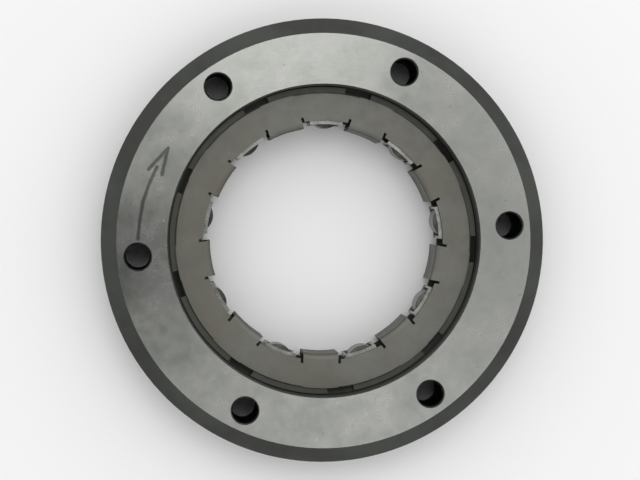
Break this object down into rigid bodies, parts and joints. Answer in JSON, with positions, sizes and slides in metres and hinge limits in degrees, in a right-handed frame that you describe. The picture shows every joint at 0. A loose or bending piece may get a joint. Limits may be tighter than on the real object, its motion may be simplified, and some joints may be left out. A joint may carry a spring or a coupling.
{
  "type": "sprag clutch",
  "caption": "One-way sprag clutch: a bolted outer race with a recessed face, a sheet-metal double cage and sprung sprags round an open hub bore.",
  "frame": {"origin": "centre of the back face of the outer race, on the clutch axis", "axes": "+Z along the clutch axis, out of the recessed front face; +X through one of the bolt holes"},
  "size_m": [0.114, 0.114, 0.018],
  "materials": {
    "race_steel": "ground faces, darker turned bevel and rim",
    "cage_steel": "dull brown-grey pressed sheet",
    "sprag_steel": "hard polished bearing steel",
    "spring_steel": "bright strip"
  },
  "bodies": {
    "outer_race": {"outer_race": "race_steel"},
    "cage": {"outer_cage": "cage_steel", "inner_cage": "cage_steel", "cage_back_ring": "cage_steel", "sprag_spring_1": "spring_steel", "sprag_spring_2": "spring_steel", "sprag_spring_3": "spring_steel", "sprag_spring_4": "spring_steel", "sprag_spring_5": "spring_steel", "sprag_spring_6": "spring_steel", "sprag_spring_7": "spring_steel", "sprag_spring_8": "spring_steel", "sprag_spring_9": "spring_steel", "drag_clip_1": "spring_steel", "drag_clip_2": "spring_steel", "drag_clip_3": "spring_steel"},
    "sprag_1": {"sprag_1": "sprag_steel"},
    "sprag_2": {"sprag_2": "sprag_steel"},
    "sprag_3": {"sprag_3": "sprag_steel"},
    "sprag_4": {"sprag_4": "sprag_steel"},
    "sprag_5": {"sprag_5": "sprag_steel"},
    "sprag_6": {"sprag_6": "sprag_steel"},
    "sprag_7": {"sprag_7": "sprag_steel"},
    "sprag_8": {"sprag_8": "sprag_steel"},
    "sprag_9": {"sprag_9": "sprag_steel"}
  },
  "joints": [
    {"name": "cage_spin", "type": "hinge", "parent": "outer_race", "child": "cage", "pos_m": [0, 0, 0.00775], "axis": [0, 0, 1], "continuous": true},
    {"name": "sprag_1_tilt", "type": "hinge", "parent": "cage", "child": "sprag_1", "pos_m": [0.03285, 0.00116, 0.00755], "axis": [0, 0, 1], "range_deg": [-10, 6], "stiffness_Nm_per_rad": 0.002},
    {"name": "sprag_2_tilt", "type": "hinge", "parent": "cage", "child": "sprag_2", "pos_m": [0.02442, 0.022, 0.00755], "axis": [0, 0, 1], "range_deg": [-10, 6], "stiffness_Nm_per_rad": 0.002},
    {"name": "sprag_3_tilt", "type": "hinge", "parent": "cage", "child": "sprag_3", "pos_m": [0.00457, 0.03255, 0.00755], "axis": [0, 0, 1], "range_deg": [-10, 6], "stiffness_Nm_per_rad": 0.002},
    {"name": "sprag_4_tilt", "type": "hinge", "parent": "cage", "child": "sprag_4", "pos_m": [-0.01743, 0.02787, 0.00755], "axis": [0, 0, 1], "range_deg": [-10, 6], "stiffness_Nm_per_rad": 0.002},
    {"name": "sprag_5_tilt", "type": "hinge", "parent": "cage", "child": "sprag_5", "pos_m": [-0.03126, 0.01015, 0.00755], "axis": [0, 0, 1], "range_deg": [-10, 6], "stiffness_Nm_per_rad": 0.002},
    {"name": "sprag_6_tilt", "type": "hinge", "parent": "cage", "child": "sprag_6", "pos_m": [-0.03047, -0.01232, 0.00755], "axis": [0, 0, 1], "range_deg": [-10, 6], "stiffness_Nm_per_rad": 0.002},
    {"name": "sprag_7_tilt", "type": "hinge", "parent": "cage", "child": "sprag_7", "pos_m": [-0.01542, -0.02903, 0.00755], "axis": [0, 0, 1], "range_deg": [-10, 6], "stiffness_Nm_per_rad": 0.002},
    {"name": "sprag_8_tilt", "type": "hinge", "parent": "cage", "child": "sprag_8", "pos_m": [0.00684, -0.03215, 0.00755], "axis": [0, 0, 1], "range_deg": [-10, 6], "stiffness_Nm_per_rad": 0.002},
    {"name": "sprag_9_tilt", "type": "hinge", "parent": "cage", "child": "sprag_9", "pos_m": [0.02591, -0.02023, 0.00755], "axis": [0, 0, 1], "range_deg": [-10, 6], "stiffness_Nm_per_rad": 0.002}
  ],
  "couplings": [
    {"joint": "sprag_2_tilt", "follows": "sprag_1_tilt", "ratio": 1},
    {"joint": "sprag_3_tilt", "follows": "sprag_1_tilt", "ratio": 1},
    {"joint": "sprag_4_tilt", "follows": "sprag_1_tilt", "ratio": 1},
    {"joint": "sprag_5_tilt", "follows": "sprag_1_tilt", "ratio": 1},
    {"joint": "sprag_6_tilt", "follows": "sprag_1_tilt", "ratio": 1},
    {"joint": "sprag_7_tilt", "follows": "sprag_1_tilt", "ratio": 1},
    {"joint": "sprag_8_tilt", "follows": "sprag_1_tilt", "ratio": 1},
    {"joint": "sprag_9_tilt", "follows": "sprag_1_tilt", "ratio": 1}
  ]
}
